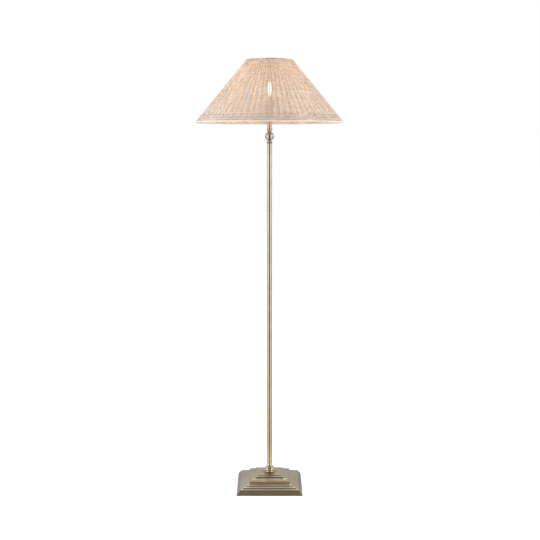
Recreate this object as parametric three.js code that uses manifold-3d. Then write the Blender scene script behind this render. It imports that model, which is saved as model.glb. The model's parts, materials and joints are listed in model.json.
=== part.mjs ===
// A floor lamp: a woven rattan shade on a slim brass stem with a glass ball, on a stepped square base.
// Millimetres, +Z up, the origin on the floor under the middle of the base, the front towards -Y.

import * as THREE from 'three';
import { mergeVertices } from 'three/addons/utils/BufferGeometryUtils.js';
import Module from 'manifold-3d';

const wasm = await Module();
wasm.setup();

// Clearances shared by all the pieces
const seam = 0.3; // gap between two pieces that meet
const slip = 0.15; // gap round a plug, rod or thread
const overrun = 3; // how far a cutter passes the piece it cuts

// Base: a shell pressed from brass sheet, square in plan and stepped like a picture moulding
const baseHalfWidth = 115.5;
const rimLift = 1.2; // the felt stands proud of the rim by this much
const rimEase = 2.5; // rounding of the bottom edge
const plinthRise = 16.2;
const plinthLean = 12.5; // how far the slanted sides lean in
const lowerLedge = 9.2;
const lowerRise = 4.6;
const upperLedge = 11.4;
const upperRise = 5.2;
const cushionLedge = 11.2;
const cushionRiser = 2.3; // upright foot of the rounded step
const cushionRound = 11.9; // height of its rounding
const cushionSpread = 19.5; // reach of its rounding
const platformSetback = 1.4;
const platformRise = 5.1;
const padLedge = 8.5;
const padRise = 3.3;
const baseSheet = 2.4;

// Under the base: felt, bottom plate with its screws, iron weight, cable bush, earth terminal
const feltThickness = 1.5;
const feltInset = 1;
const plateThickness = 2;
const weightPlay = 2.5; // room round the weight inside the lower step
const screwInset = 27; // screws from the edges of the weight
const screwShankRadius = 2;
const screwHeadRadius = 3.9;
const screwHeadDepth = 1.4;
const screwLength = 11;
const channelWidth = 9; // channel for the cable under the weight
const channelDepth = 8;
const bushHeight = 9.6; // middle of the cable bush above the floor
const bushBore = 3.8;
const bushNeckWall = 1.5;
const bushFlangeWall = 2.7;
const bushStandOut = 0.9; // outer face of the bush behind the widest line of the plinth
const bushReach = 17;
const earthPlace = 30;
const earthRadius = 3;
const earthLength = 7;
const earthTagRadius = 6;
const earthTagThickness = 1;

// Fixing through the base
const rodRadius = 5;
const rodBore = 3.2;
const rodTail = 2; // rod standing out below its nut
const nutAcrossFlats = 17;
const nutThickness = 6;
const washerRadius = 14;
const washerThickness = 2;
const recessRoom = 2;

// Foot collar, turned from solid brass
const beadRadius = 18.2;
const beadRise = 6.4;
const beadBulge = 1.6;
const grooveRadius = 14.6;
const grooveRise = 1.6;
const bellRadius = 18.7;
const bellLipRise = 3.4;
const bellRise = 16.6;
const footNeckRadius = 8.3;
const footNeckRise = 5.4;
const cupWall = 0.8;
const cupFloorRise = 2.8;
const cupDepth = 6;

// Stem: three equal tubes, joined end to end by hidden couplers
const tubeCount = 3;
const tubeRadius = 8.8;
const tubeWall = 1.2;
const tubeLength = 378;
const tubeEase = 0.35; // small chamfer that marks each joint
const couplerLength = 52;
const couplerBore = 3.6;
const footPlugLength = 28;
const topPlugLength = 30;

// Glass ball between two turned collars
const ballRadius = 16;
const ballFlatRadius = 6.6; // ground flat at each pole
const ballRodRadius = 4;
const ballRodBore = 2.5;
const ballWasherRadius = 6.9;
const ballWasherThickness = 1;
const collarRingRadius = 10.2;
const collarRingRise = 4;
const collarNeckRadius = 7.7;
const collarHollowShare = 0.25; // waist of the neck, as a share of the ring's overhang
const lowerCollarNeckRise = 3.6;
const upperCollarNeckRise = 5.7;
const neckTubeLength = 31.4;

// Lampholder
const capFootRadius = 9.4;
const capFootRise = 3;
const capRadius = 14.4;
const capFlareRise = 9;
const capSkirtRise = 8;
const capWall = 1.5;
const holderRadius = 14;
const holderWall = 1.3;
const spigotDepth = 5;
const spigotLip = 2;
const holderSeatRise = 24.5; // from the cap to the underside of the seat
const holderSeatRadius = 17;
const holderSeatThickness = 2.5;
const holderThreadRise = 16.5;
const insertRise = 24;
const insertBore = 2.2;
const insertShoulderRise = 20;
const insertBossRadius = 6.2;
const socketBore = 7.25;
const socketWall = 0.6;
const socketRise = 24;
const socketLip = 0.9;
const contactRadius = 2.5;
const contactRise = 1.6;

// Shade ring that clamps the shade on the seat
const shadeRingWall = 4.4;
const shadeRingRise = 7;
const shadeRingChamfer = 1;
const gripDepth = 0.7;

// Candle bulb
const bulbCapRadius = 6.9;
const bulbCapRise = 18.5;
const bulbTaperRise = 2.6;
const bulbButtonRadius = 4;
const bulbTipRadius = 2.4;
const bulbTipRise = 1.5;
const bulbSkirtRadius = 10.8;
const bulbSkirtRise = 4.5;
const bulbSkirtEdge = 1.5;
const bulbRadius = 17.5;
const bulbGlassRise = 73;
const bulbGlassWall = 0.9;
const filamentFootRadius = 5;
const filamentFootRise = 14;
const filamentRadius = 6.5;
const filamentRise = 44;
const filamentTipRadius = 1.2;
const filamentSwellShares = [0.3, 0.6]; // where along the rise it is thickest
// The candle outline: share of the height, share of the radius
const candleShares = [
  [0, 0.6], [0.08, 0.68], [0.18, 0.87], [0.31, 1], [0.46, 0.96],
  [0.62, 0.78], [0.77, 0.52], [0.89, 0.27], [0.97, 0.1],
];

// Shade
const rimRadius = 255;
const rimRoll = 3.4; // half the thickness of the rolled border at the rim
const crownRadius = 80.8;
const crownRoll = 2.9;
const shadeHeight = 213.5;
const fitterDrop = 154.2; // crown of the shade above the seat of the lampholder
const rollBumpShare = 0.12; // how much each turned-down pair of stakes swells the borders
const wallThickness = 2.2; // between the stakes, where the canes cross
const stakeRelief = 2.1; // how far the weave bows out round the stakes
const stakeReliefInside = 1.7;
const bandRise = 17; // heavier rows above the rim
const bandRelief = 0.4;
const bandShoulder = 2;
const frameWireRadius = 1.75;
const ribWireRadius = 1.4;
const fitterRadius = 21;
const fitterThickness = 1.5;
const armRadius = 1.6;
const armFoot = 12; // how far each arm sets out level before it bows up

// Counts
const stakes = 72;
const ribWires = 6;
const arms = 3;
const grips = 10;
const roundSides = 24;
const hiddenSides = 16;
const wireSides = 6;
const screwSides = 10;
const contactSides = 12;
const easeSteps = 3;
const beadSteps = 4;
const roundSteps = 6;
const ballSteps = 10;
const bulbSteps = 10;
const armSteps = 10;

// Finishes: colour, roughness, metalness
const finishes = {
  agedBrass: [0x8f7f5c, 0.34, 1],
  stemBrass: [0xb8a682, 0.24, 1],
  plainBrass: [0xb59a55, 0.4, 1],
  plainSteel: [0x9a9c9e, 0.45, 1],
  castIron: [0x3f4144, 0.8, 0.6],
  felt: [0x26282a, 0.95, 0],
  blackPlastic: [0x1c1c1e, 0.5, 0],
  fibre: [0xd8d2c4, 0.7, 0],
  ballGlass: [0xe6e8e6, 0.05, 0],
  porcelain: [0xe9e6dd, 0.35, 0],
  bulbGlass: [0xfff6e6, 0.1, 0],
  filament: [0xffe2b0, 0.4, 0],
  whiteWire: [0xe8e2d6, 0.45, 0.2],
  rattan: [0xdcbfa6, 0.75, 0],
  rattanDark: [0xc5a78c, 0.8, 0],
};

// Shape helpers

const uprightFromLathe = new THREE.Matrix4().set(1, 0, 0, 0, 0, 0, -1, 0, 0, 1, 0, 0, 0, 0, 0, 1);
const backwardFromUpright = new THREE.Matrix4().set(1, 0, 0, 0, 0, 0, 1, 0, 0, -1, 0, 0, 0, 0, 0, 1);

// Six times the volume inside a closed skin of triangles
function signedVolume(position, index) {
  const a = new THREE.Vector3();
  const b = new THREE.Vector3();
  const c = new THREE.Vector3();
  let sum = 0;
  for (let i = 0; i < index.length; i += 3) {
    a.fromBufferAttribute(position, index[i]);
    b.fromBufferAttribute(position, index[i + 1]);
    c.fromBufferAttribute(position, index[i + 2]);
    sum += a.dot(b.cross(c));
  }
  return sum;
}

// One closed skin: shared corners merged, empty triangles dropped, faces turned outwards
function closed(geometry) {
  geometry.deleteAttribute('normal');
  geometry.deleteAttribute('uv');
  const merged = mergeVertices(geometry);
  const all = merged.getIndex().array;
  const kept = [];
  for (let i = 0; i < all.length; i += 3) {
    const [a, b, c] = all.slice(i, i + 3);
    if (a !== b && b !== c && c !== a) {
      kept.push(a, b, c);
    }
  }
  if (signedVolume(merged.getAttribute('position'), kept) < 0) {
    kept.reverse();
  }
  merged.setIndex(kept);
  merged.computeVertexNormals();
  return merged;
}

// A profile of [radius, height] turned about the upright axis
function turned(profile, sides = roundSides, firstAngle = 0) {
  const points = profile.map(([radius, height]) => new THREE.Vector2(radius, height));
  const geometry = new THREE.LatheGeometry(points, sides, firstAngle, 2 * Math.PI);
  geometry.applyMatrix4(uprightFromLathe);
  return closed(geometry);
}

// A profile of [half width, height] swept round a square with mitred corners
function mitred(profile) {
  const corners = profile.map(([half, height]) => [half * Math.SQRT2, height]);
  return turned(corners, 4, Math.PI / 4);
}

function cylinder(radius, low, high, sides = roundSides) {
  return turned([[0, low], [radius, low], [radius, high], [0, high]], sides);
}

function sleeve(bore, radius, low, high, sides = hiddenSides) {
  return turned([[bore, low], [radius, low], [radius, high], [bore, high], [bore, low]], sides);
}

function asSolid(geometry) {
  const vertProperties = new Float32Array(geometry.getAttribute('position').array);
  const triVerts = new Uint32Array(geometry.getIndex().array);
  return new wasm.Manifold(new wasm.Mesh({ numProp: 3, vertProperties, triVerts }));
}

function asGeometry(solid) {
  const mesh = solid.getMesh();
  const geometry = new THREE.BufferGeometry();
  geometry.setAttribute('position', new THREE.BufferAttribute(new Float32Array(mesh.vertProperties), 3));
  geometry.setIndex(Array.from(mesh.triVerts));
  geometry.computeVertexNormals();
  return geometry;
}

function cut(geometry, cutters) {
  let solid = asSolid(geometry);
  for (const cutter of cutters) {
    solid = solid.subtract(asSolid(cutter));
  }
  return asGeometry(solid);
}

function joined(first, second) {
  return asGeometry(asSolid(first).add(asSolid(second)));
}

function moved(geometry, x, y, z) {
  return geometry.clone().translate(x, y, z);
}

// Points on a quarter of an ellipse, from the side of the given centre to above or below it
function quarter(centreRadius, centreHeight, reach, rise, steps) {
  const points = [];
  for (let i = 0; i <= steps; i += 1) {
    const angle = (i / steps) * (Math.PI / 2);
    points.push([centreRadius + reach * Math.cos(angle), centreHeight + rise * Math.sin(angle)]);
  }
  return points;
}

// Points on a half-round moulding that swells out from an upright line
function halfRound(radius, bulge, low, high, steps) {
  const points = [];
  for (let i = 0; i <= steps; i += 1) {
    const angle = (i / steps) * Math.PI;
    const height = (low + high) / 2 - ((high - low) / 2) * Math.cos(angle);
    points.push([radius + bulge * Math.sin(angle), height]);
  }
  return points;
}

const lamp = new THREE.Group();

function addPiece(name, geometry, finish) {
  const [color, roughness, metalness] = finishes[finish];
  const material = new THREE.MeshStandardMaterial({ color, roughness, metalness, flatShading: true });
  const mesh = new THREE.Mesh(geometry, material);
  mesh.name = name;
  lamp.add(mesh);
  return mesh;
}

// Heights and widths of the base, worked out from its steps

const plinthTop = rimLift + plinthRise;
const lowerTop = plinthTop + lowerRise;
const upperTop = lowerTop + upperRise;
const cushionTop = upperTop + cushionRiser + cushionRound;
const platformTop = cushionTop + platformRise;
const padTop = platformTop + padRise;
const plinthTopHalf = baseHalfWidth - plinthLean;
const lowerHalf = plinthTopHalf - lowerLedge;
const upperHalf = lowerHalf - upperLedge;
const cushionHalf = upperHalf - cushionLedge;
const cushionTopHalf = cushionHalf - cushionSpread;
const platformHalf = cushionTopHalf - platformSetback;
const padHalf = platformHalf - padLedge;
const rimInnerHalf = baseHalfWidth - rimEase - baseSheet;
const plateTop = feltThickness + plateThickness;
const weightTop = lowerTop - baseSheet - seam;
const weightHalf = lowerHalf - baseSheet - weightPlay;
const screwPlace = weightHalf - screwInset;
const nutLow = plateTop + seam + rodTail;
const washerLow = nutLow + nutThickness;
const recessTop = washerLow + washerThickness;

// Half width inside the slanted plinth wall at a height
function plinthInnerHalf(height) {
  const share = (height - rimLift) / (plinthTop - baseSheet - rimLift);
  return rimInnerHalf + (plinthTopHalf - baseSheet - rimInnerHalf) * share;
}

function stepsAbovePlinth() {
  return [
    [plinthTopHalf, plinthTop],
    [lowerHalf, plinthTop],
    [lowerHalf, lowerTop],
    [upperHalf, lowerTop],
    [upperHalf, upperTop],
    [cushionHalf, upperTop],
    ...quarter(cushionTopHalf, upperTop + cushionRiser, cushionSpread, cushionRound, roundSteps),
    [platformHalf, cushionTop],
    [platformHalf, platformTop],
    [padHalf, platformTop],
    [padHalf, padTop],
    [0, padTop],
  ];
}

function plinthFoot() {
  const easing = quarter(baseHalfWidth - rimEase, rimLift + rimEase, rimEase, -rimEase, easeSteps);
  return easing.reverse();
}

// The outer skin, down to the rim, as a full block that the cable bush is trimmed against
function baseEnvelope() {
  return mitred([[0, rimLift], ...plinthFoot(), ...stepsAbovePlinth()]);
}

function bushCutter(radius) {
  const innerEnd = baseHalfWidth - bushReach - overrun;
  const bore = cylinder(radius, innerEnd, baseHalfWidth + overrun, hiddenSides);
  return bore.applyMatrix4(backwardFromUpright).translate(0, 0, bushHeight);
}

function makeBaseShell() {
  const outside = [...plinthFoot(), ...stepsAbovePlinth()];
  const inside = stepsAbovePlinth().map(([half, height]) => [half - baseSheet, height - baseSheet]);
  inside[inside.length - 1][0] = 0;
  inside.reverse();
  const shell = mitred([...outside, ...inside, [rimInnerHalf, rimLift], outside[0]]);
  const rodHole = cylinder(rodRadius + slip, platformTop - overrun, padTop + overrun);
  return cut(shell, [rodHole, bushCutter(bushBore + bushNeckWall + slip)]);
}

function screwPlaces() {
  const places = [];
  for (const sideways of [-1, 1]) {
    for (const depth of [-1, 1]) {
      places.push([sideways * screwPlace, depth * screwPlace]);
    }
  }
  return places;
}

function screwProfile(gap) {
  const headLow = feltThickness;
  const neck = headLow + screwHeadDepth;
  const tip = headLow + screwLength + gap;
  return [
    [0, headLow],
    [screwHeadRadius + gap, headLow],
    [screwShankRadius + gap, neck],
    [screwShankRadius + gap, tip],
    [0, tip],
  ];
}

function makeWeight() {
  const block = mitred([[0, plateTop], [weightHalf, plateTop], [weightHalf, weightTop], [0, weightTop]]);
  const hole = cylinder(rodRadius + slip, plateTop - overrun, weightTop + overrun);
  const recess = cylinder(washerRadius + recessRoom, plateTop - overrun, recessTop);
  const channel = new THREE.BoxGeometry(channelWidth, weightHalf + overrun, channelDepth + overrun);
  channel.translate(0, (weightHalf + overrun) / 2, plateTop + (channelDepth - overrun) / 2);
  const earthLow = weightTop - earthLength - seam;
  const earth = cylinder(earthRadius + slip, earthLow, weightTop + overrun, screwSides);
  const screws = screwPlaces().map(([x, y]) => moved(turned(screwProfile(slip), screwSides), x, y, 0));
  return cut(block, [hole, recess, closed(channel), moved(earth, earthPlace, earthPlace, 0), ...screws]);
}

function makePlate() {
  const half = plinthInnerHalf(plateTop) - seam;
  const sheet = mitred([[0, feltThickness], [half, feltThickness], [half, plateTop], [0, plateTop]]);
  const cutter = screwProfile(slip);
  cutter[0][1] -= overrun;
  cutter.splice(1, 0, [screwHeadRadius + slip, feltThickness - overrun]);
  return cut(sheet, screwPlaces().map(([x, y]) => moved(turned(cutter, screwSides), x, y, 0)));
}

function makeBush() {
  const outerFace = baseHalfWidth - bushStandOut;
  const innerEnd = baseHalfWidth - bushReach;
  const flange = cylinder(bushBore + bushFlangeWall, innerEnd, outerFace, hiddenSides);
  flange.applyMatrix4(backwardFromUpright).translate(0, 0, bushHeight);
  const block = baseEnvelope().translate(0, seam, 0);
  const trimmed = cut(flange, [block]);
  const neck = cylinder(bushBore + bushNeckWall, innerEnd, outerFace, hiddenSides);
  neck.applyMatrix4(backwardFromUpright).translate(0, 0, bushHeight);
  return cut(joined(trimmed, neck), [bushCutter(bushBore)]);
}

function makeEarthTerminal() {
  const low = weightTop - earthLength;
  const stem = [[0, low], [earthRadius, low], [earthRadius, weightTop]];
  const tagLow = weightTop + slip;
  const tagTop = tagLow + earthTagThickness;
  const tag = [[earthRadius, tagLow], [earthTagRadius, tagLow], [earthTagRadius, tagTop], [0, tagTop]];
  return moved(turned([...stem, ...tag], screwSides), earthPlace, earthPlace, 0);
}

function makeNut() {
  const corner = nutAcrossFlats / 2 / Math.cos(Math.PI / 6);
  return cut(cylinder(corner, nutLow, washerLow, 6), [
    cylinder(rodRadius + slip, nutLow - overrun, washerLow + overrun),
  ]);
}

function addBase() {
  const feltHalf = rimInnerHalf - feltInset;
  const felt = mitred([[0, 0], [feltHalf, 0], [feltHalf, feltThickness], [0, feltThickness]]);
  addPiece('base_felt', felt, 'felt');
  addPiece('base_plate', makePlate(), 'plainSteel');
  screwPlaces().forEach(([x, y], i) => {
    const screw = moved(turned(screwProfile(0), screwSides), x, y, 0);
    addPiece(`plate_screw_${i + 1}`, screw, 'plainSteel');
  });
  addPiece('base_weight', makeWeight(), 'castIron');
  addPiece('base_shell', makeBaseShell(), 'agedBrass');
  addPiece('cable_bush', makeBush(), 'blackPlastic');
  addPiece('earth_terminal', makeEarthTerminal(), 'plainBrass');
  addPiece('base_nut', makeNut(), 'plainSteel');
  const washer = sleeve(rodRadius + slip, washerRadius, washerLow, recessTop);
  addPiece('base_washer', washer, 'plainSteel');
}

// Heights up the stem

const bellLow = padTop + beadRise + grooveRise;
const bellLipTop = bellLow + bellLipRise;
const bellTop = bellLipTop + bellRise;
const footNeckTop = bellTop + footNeckRise;
const stemLow = footNeckTop + cupFloorRise;
const cupTop = stemLow + cupDepth;
const stemTop = stemLow + tubeCount * tubeLength;
const tubeBore = tubeRadius - tubeWall;
const plugRadius = tubeBore - slip;
const lowerCollarTop = stemTop + collarRingRise + lowerCollarNeckRise;
const ballHalfHeight = Math.sqrt(ballRadius ** 2 - ballFlatRadius ** 2);
const ballLow = lowerCollarTop + ballWasherThickness;
const ballMiddle = ballLow + ballHalfHeight;
const ballTop = ballMiddle + ballHalfHeight;
const upperCollarLow = ballTop + ballWasherThickness;
const neckTubeLow = upperCollarLow + upperCollarNeckRise + collarRingRise;
const holderLow = neckTubeLow + neckTubeLength;

function makeFootCollar() {
  const bore = rodRadius + slip;
  const cupRadius = tubeRadius + slip;
  const ringRadius = cupRadius + cupWall;
  const bead = halfRound(beadRadius - beadBulge, beadBulge, padTop, padTop + beadRise, beadSteps);
  const lip = quarter(grooveRadius, bellLipTop, bellRadius - grooveRadius, -bellLipRise, easeSteps);
  lip.reverse();
  const bell = [];
  for (let i = 1; i <= roundSteps; i += 1) {
    const share = i / roundSteps;
    const swell = (1 + Math.cos(Math.PI * share)) / 2;
    bell.push([footNeckRadius + (bellRadius - footNeckRadius) * swell, bellLipTop + bellRise * share]);
  }
  const ring = halfRound(ringRadius - cupWall / 2, cupWall / 2, footNeckTop, cupTop, easeSteps);
  const profile = [
    [bore, padTop],
    ...bead,
    [grooveRadius, padTop + beadRise],
    ...lip,
    ...bell,
    [footNeckRadius, footNeckTop],
    ...ring,
    [cupRadius, cupTop],
    [cupRadius, stemLow],
    [bore, stemLow],
    [bore, padTop],
  ];
  return turned(profile);
}

function makeTube(low, high) {
  return turned([
    [tubeBore, low],
    [tubeRadius - tubeEase, low],
    [tubeRadius, low + tubeEase],
    [tubeRadius, high - tubeEase],
    [tubeRadius - tubeEase, high],
    [tubeBore, high],
    [tubeBore, low],
  ]);
}

// A ring and a hollowed neck; the neck points up below the ball and down above it
function makeCollar(ringEnd, ringInner, neckEnd) {
  const bore = ballRodRadius + slip;
  const bulge = collarRingRadius - tubeRadius;
  const ring = halfRound(tubeRadius, bulge, ringEnd, ringInner, beadSteps);
  const hollow = (collarRingRadius - collarNeckRadius) * collarHollowShare;
  const middle = (ringInner + neckEnd) / 2;
  const profile = [
    [bore, ringEnd],
    ...ring,
    [collarNeckRadius, ringInner],
    [collarNeckRadius - hollow, middle],
    [collarNeckRadius, neckEnd],
    [bore, neckEnd],
    [bore, ringEnd],
  ];
  return turned(profile);
}

function makeBall() {
  const bore = ballRodRadius + slip;
  const lowest = Math.asin(ballHalfHeight / ballRadius);
  const profile = [[bore, ballLow]];
  for (let i = 0; i <= ballSteps; i += 1) {
    const angle = lowest * ((2 * i) / ballSteps - 1);
    profile.push([ballRadius * Math.cos(angle), ballMiddle + ballRadius * Math.sin(angle)]);
  }
  profile.push([bore, ballTop]);
  profile.push([bore, ballLow]);
  return turned(profile);
}

function addStem() {
  const rodTop = stemLow + footPlugLength - rodTail;
  const rod = sleeve(rodBore, rodRadius, nutLow - rodTail, rodTop);
  addPiece('base_rod', rod, 'plainSteel');
  addPiece('foot_collar', makeFootCollar(), 'stemBrass');
  const footPlug = sleeve(rodRadius + slip, plugRadius, stemLow, stemLow + footPlugLength);
  addPiece('foot_plug', footPlug, 'plainBrass');
  ['lower', 'middle', 'upper'].forEach((place, i) => {
    const low = stemLow + i * tubeLength;
    addPiece(`${place}_tube`, makeTube(low, low + tubeLength), 'stemBrass');
  });
  ['lower', 'upper'].forEach((place, i) => {
    const joint = stemLow + (i + 1) * tubeLength;
    const coupler = sleeve(couplerBore, plugRadius, joint - couplerLength / 2, joint + couplerLength / 2);
    addPiece(`${place}_coupler`, coupler, 'plainBrass');
  });
  const rodHole = ballRodRadius + slip;
  addPiece('top_plug', sleeve(rodHole, plugRadius, stemTop - topPlugLength, stemTop), 'plainBrass');
}

function addBall() {
  const rodHole = ballRodRadius + slip;
  const rodTop = holderLow + capFootRise + capFlareRise;
  const rod = sleeve(ballRodBore, ballRodRadius, stemTop - topPlugLength + rodTail, rodTop);
  addPiece('ball_rod', rod, 'plainBrass');
  const lowerCollar = makeCollar(stemTop, stemTop + collarRingRise, lowerCollarTop);
  addPiece('lower_ball_collar', lowerCollar, 'stemBrass');
  const lowerWasher = sleeve(rodHole, ballWasherRadius, lowerCollarTop, ballLow);
  addPiece('lower_ball_washer', lowerWasher, 'fibre');
  addPiece('glass_ball', makeBall(), 'ballGlass');
  const upperWasher = sleeve(rodHole, ballWasherRadius, ballTop, upperCollarLow);
  addPiece('upper_ball_washer', upperWasher, 'fibre');
  const upperCollar = makeCollar(neckTubeLow, neckTubeLow - collarRingRise, upperCollarLow);
  addPiece('upper_ball_collar', upperCollar, 'stemBrass');
  addPiece('neck_tube', makeTube(neckTubeLow, holderLow), 'stemBrass');
}

// Heights up the lampholder

const capTop = holderLow + capFootRise + capFlareRise + capSkirtRise;
const holderBore = holderRadius - holderWall;
const spigotRadius = capRadius - capWall - slip;
const spigotLow = capTop - spigotDepth;
const insertLow = spigotLow + spigotLip;
const insertShoulder = insertLow + insertShoulderRise;
const insertTop = insertLow + insertRise;
const seatLow = capTop + holderSeatRise;
const seatTop = seatLow + holderSeatThickness;
const holderTop = seatTop + holderThreadRise;
const contactTop = insertTop + contactRise;
const bulbLow = contactTop + seam;
const bulbCapLow = bulbLow + bulbTipRise;
const bulbCapTop = bulbCapLow + bulbTaperRise + bulbCapRise;
const bulbGlassLow = bulbCapTop + bulbSkirtRise + bulbSkirtEdge;

function makeHolderCap() {
  const hole = ballRodRadius + slip;
  const flareLow = holderLow + capFootRise;
  const flareTop = flareLow + capFlareRise;
  const flare = quarter(capFootRadius, flareTop, capRadius - capFootRadius, -capFlareRise, easeSteps);
  flare.reverse();
  const innerReach = capRadius - capWall - hole;
  const inner = quarter(hole, flareTop, innerReach, capWall - capFlareRise, easeSteps);
  return turned([
    [hole, holderLow],
    [capFootRadius, holderLow],
    ...flare,
    [capRadius, capTop],
    [capRadius - capWall, capTop],
    ...inner,
    [hole, holderLow],
  ]);
}

function makeHolderBody() {
  return turned([
    [spigotRadius - 2 * holderWall, spigotLow],
    [spigotRadius, spigotLow],
    [spigotRadius, capTop],
    [holderRadius, capTop],
    [holderRadius, seatLow],
    [holderSeatRadius, seatLow],
    [holderSeatRadius, seatTop],
    [holderRadius, seatTop],
    [holderRadius, holderTop],
    [holderBore, holderTop],
    [holderBore, capTop],
    [spigotRadius - holderWall, capTop],
    [spigotRadius - holderWall, insertLow],
    [spigotRadius - 2 * holderWall, insertLow],
    [spigotRadius - 2 * holderWall, spigotLow],
  ]);
}

function makeInsert() {
  const radius = spigotRadius - holderWall - slip;
  return turned([
    [insertBore, insertLow],
    [radius, insertLow],
    [radius, insertShoulder],
    [insertBossRadius, insertShoulder],
    [insertBossRadius, insertTop],
    [insertBore, insertTop],
    [insertBore, insertLow],
  ], hiddenSides);
}

function makeSocketShell() {
  const top = insertShoulder + socketRise;
  return turned([
    [socketBore, insertShoulder],
    [socketBore + socketWall, insertShoulder],
    [socketBore + socketWall, top - socketLip],
    [socketBore + socketWall + socketLip, top],
    [socketBore + socketLip, top],
    [socketBore, top - socketLip],
    [socketBore, insertShoulder],
  ], hiddenSides);
}

function makeContact() {
  const stemRadius = insertBore - slip;
  return turned([
    [0, insertTop - contactRise],
    [stemRadius, insertTop - contactRise],
    [stemRadius, insertTop + slip],
    [contactRadius, insertTop + slip],
    [contactRadius, contactTop - slip],
    [contactRadius / 2, contactTop],
    [0, contactTop],
  ], contactSides);
}

// A ring with finger grips: the turned ring's rim is drawn in between the grips
function makeShadeRing() {
  const bore = holderRadius + seam;
  const outer = bore + shadeRingWall;
  const low = seatTop + fitterThickness + 2 * seam;
  const top = low + shadeRingRise;
  const ring = turned([
    [bore, low],
    [outer - shadeRingChamfer, low],
    [outer, low + shadeRingChamfer],
    [outer, top - shadeRingChamfer],
    [outer - shadeRingChamfer, top],
    [bore, top],
    [bore, low],
  ], 4 * grips);
  const position = ring.getAttribute('position');
  const spot = new THREE.Vector3();
  for (let i = 0; i < position.count; i += 1) {
    spot.fromBufferAttribute(position, i);
    const radius = Math.hypot(spot.x, spot.y);
    if (radius > (bore + outer) / 2) {
      const wave = (1 - Math.cos(grips * Math.atan2(spot.y, spot.x))) / 2;
      const share = (radius - gripDepth * wave) / radius;
      position.setXYZ(i, spot.x * share, spot.y * share, spot.z);
    }
  }
  return ring;
}

function addLampholder() {
  addPiece('holder_cap', makeHolderCap(), 'plainBrass');
  addPiece('holder_body', makeHolderBody(), 'plainBrass');
  addPiece('holder_insert', makeInsert(), 'porcelain');
  addPiece('socket_shell', makeSocketShell(), 'plainBrass');
  addPiece('centre_contact', makeContact(), 'plainBrass');
  addPiece('shade_ring', makeShadeRing(), 'plainBrass');
}

function candleOutline(inset) {
  const points = candleShares.map(([heightShare, radiusShare]) => new THREE.Vector2(
    bulbRadius * radiusShare - inset,
    bulbGlassLow + (bulbGlassRise - inset) * heightShare,
  ));
  points.push(new THREE.Vector2(0, bulbGlassLow + bulbGlassRise - inset));
  const curve = new THREE.SplineCurve(points.filter(({ x }, i) => x > 0 || i === points.length - 1));
  const samples = curve.getPoints(bulbSteps).map(({ x, y }) => [Math.max(x, 0), y]);
  samples[samples.length - 1][0] = 0;
  return samples;
}

function addBulb() {
  const tip = turned([
    [0, bulbLow],
    [bulbTipRadius / 2, bulbLow],
    [bulbTipRadius, bulbLow + bulbTipRise / 2],
    [bulbTipRadius, bulbCapLow],
    [0, bulbCapLow],
  ], contactSides);
  addPiece('bulb_contact', tip, 'plainSteel');
  const cap = turned([
    [0, bulbCapLow],
    [bulbButtonRadius, bulbCapLow],
    [bulbCapRadius, bulbCapLow + bulbTaperRise],
    [bulbCapRadius, bulbCapTop],
    [bulbSkirtRadius, bulbCapTop + bulbSkirtRise],
    [bulbSkirtRadius, bulbGlassLow],
    [0, bulbGlassLow],
  ]);
  addPiece('bulb_cap', cap, 'plainSteel');
  const outside = candleOutline(0);
  const inside = candleOutline(bulbGlassWall).reverse();
  addPiece('bulb_glass', turned([...outside, ...inside, outside[0]], hiddenSides), 'bulbGlass');
  const foot = bulbGlassLow + filamentFootRise;
  const filament = turned([
    [0, bulbGlassLow],
    [filamentFootRadius, bulbGlassLow],
    [filamentTipRadius, foot],
    ...filamentSwellShares.map((share) => [filamentRadius, foot + filamentRise * share]),
    [filamentTipRadius, foot + filamentRise],
    [0, foot + filamentRise],
  ], contactSides);
  addPiece('bulb_filament', filament, 'filament');
}

// Shade: places on its flank are given by the way up from the rim roll and the offset outwards

const shadeHigh = seatTop + seam + fitterDrop;
const shadeLow = shadeHigh - shadeHeight;
const rimCentre = new THREE.Vector2(rimRadius - rimRoll, shadeLow + rimRoll);
const crownCentre = new THREE.Vector2(crownRadius - crownRoll, shadeHigh - crownRoll);
const flankLength = rimCentre.distanceTo(crownCentre);
const upFlank = crownCentre.clone().sub(rimCentre).normalize();
const outOfFlank = new THREE.Vector2(upFlank.y, -upFlank.x);
const fitterLow = seatTop + seam;

function onFlank(way, offset) {
  const place = rimCentre.clone().addScaledVector(upFlank, way).addScaledVector(outOfFlank, offset);
  return [place.x, place.y];
}

const wallStart = rimRoll * (1 + rollBumpShare) + seam;
const wallEnd = flankLength - crownRoll * (1 + rollBumpShare) - seam;
const wallHalf = wallThickness / 2;
const insideOffset = -(wallHalf + stakeReliefInside + seam);
const rimRingWay = rimRoll * (1 + rollBumpShare) + frameWireRadius;
const crownRingWay = flankLength - crownRoll * (1 + rollBumpShare) - frameWireRadius;

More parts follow.
